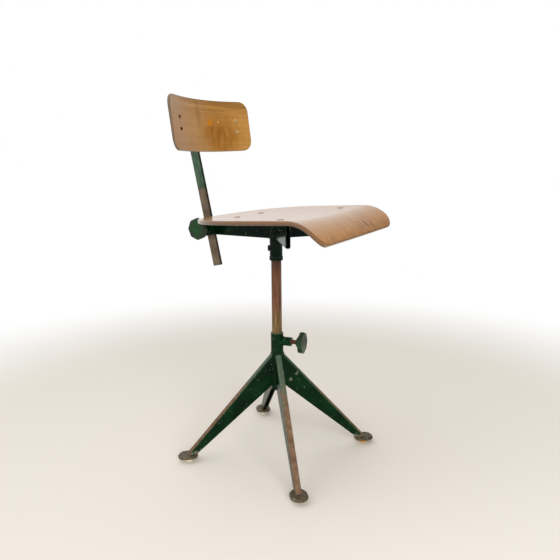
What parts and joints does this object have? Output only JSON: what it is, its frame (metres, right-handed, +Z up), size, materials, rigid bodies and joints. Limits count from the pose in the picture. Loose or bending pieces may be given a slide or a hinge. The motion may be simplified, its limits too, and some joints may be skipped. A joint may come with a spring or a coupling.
{
  "type": "swivel work chair",
  "caption": "Height-adjustable swivel work chair with a folded steel four-leg base, a dished plywood seat with a turned-down front and a curved plywood backrest on a flat bar.",
  "frame": {"origin": "on the floor, on the axis of the column", "axes": "+Z up along the column; the chair faces -Y, so +X is on the sitter's left"},
  "size_m": [0.4496, 0.521, 0.9654],
  "materials": {
    "green_enamel": "worn dark green enamel",
    "worn_pipe": "bare pipe, browned by handling",
    "bar_steel": "flat steel, half bare and half green",
    "foot_steel": "worn grey-brown steel",
    "glide_plastic": "aged off-white plastic",
    "knob_enamel": "grey-green enamel, worn through",
    "rusty_steel": "rusted fastener steel",
    "plywood": "worn satin lacquer on veneered plywood"
  },
  "bodies": {
    "base": {"base_sleeve": "green_enamel", "height_clamp_boss": "green_enamel", "leg_1": "green_enamel", "leg_2": "green_enamel", "leg_3": "green_enamel", "leg_4": "green_enamel", "foot_plate_1": "foot_steel", "foot_plate_2": "foot_steel", "foot_plate_3": "foot_steel", "foot_plate_4": "foot_steel", "glide_1": "glide_plastic", "glide_2": "glide_plastic", "glide_3": "glide_plastic", "glide_4": "glide_plastic"},
    "height_clamp": {"height_clamp_screw": "rusty_steel", "height_knob": "knob_enamel"},
    "column": {"column_tube": "worn_pipe", "thrust_collar": "green_enamel"},
    "seat": {"hub_tube": "green_enamel", "hub_retaining_screw": "rusty_steel", "rear_beam": "green_enamel", "front_arm_left": "green_enamel", "front_arm_right": "green_enamel", "front_strap": "green_enamel", "rear_strap": "green_enamel", "bar_clamp_housing": "green_enamel", "bar_clamp_boss": "green_enamel", "seat_shell": "plywood", "seat_bolts": "rusty_steel", "seat_nuts": "rusty_steel"},
    "bar_clamp": {"bar_clamp_screw": "rusty_steel", "bar_knob": "knob_enamel"},
    "backrest_bar": {"backrest_bar": "bar_steel"},
    "backrest": {"backrest_bracket": "green_enamel", "pivot_bolt": "rusty_steel", "pivot_nut": "rusty_steel", "backrest_strip": "green_enamel", "backrest_shell": "plywood", "backrest_screws": "rusty_steel", "backrest_nuts": "rusty_steel"}
  },
  "joints": [
    {"name": "height_slide", "type": "slide", "parent": "base", "child": "column", "axis": [0, 0, 1], "range_m": [-0.19, 0.06]},
    {"name": "seat_swivel", "type": "hinge", "parent": "column", "child": "seat", "pos_m": [0, 0, 0.55598], "axis": [0, 0, 1], "continuous": true},
    {"name": "height_knob_turn", "type": "hinge", "parent": "base", "child": "height_clamp", "pos_m": [0, 0, 0.3247], "axis": [0.1702, -0.9854, 0], "range_deg": [0, 360]},
    {"name": "bar_slide", "type": "slide", "parent": "seat", "child": "backrest_bar", "axis": [0, 0.2062, 0.9785], "range_m": [-0.08, 0.06]},
    {"name": "bar_knob_turn", "type": "hinge", "parent": "seat", "child": "bar_clamp", "pos_m": [0, 0.21083, 0.62298], "axis": [-1, 0, 0], "range_deg": [0, 360]},
    {"name": "backrest_tilt", "type": "hinge", "parent": "backrest_bar", "child": "backrest", "pos_m": [0, 0.26795, 0.89403], "axis": [1, 0, 0], "range_deg": [-12, 12]}
  ]
}
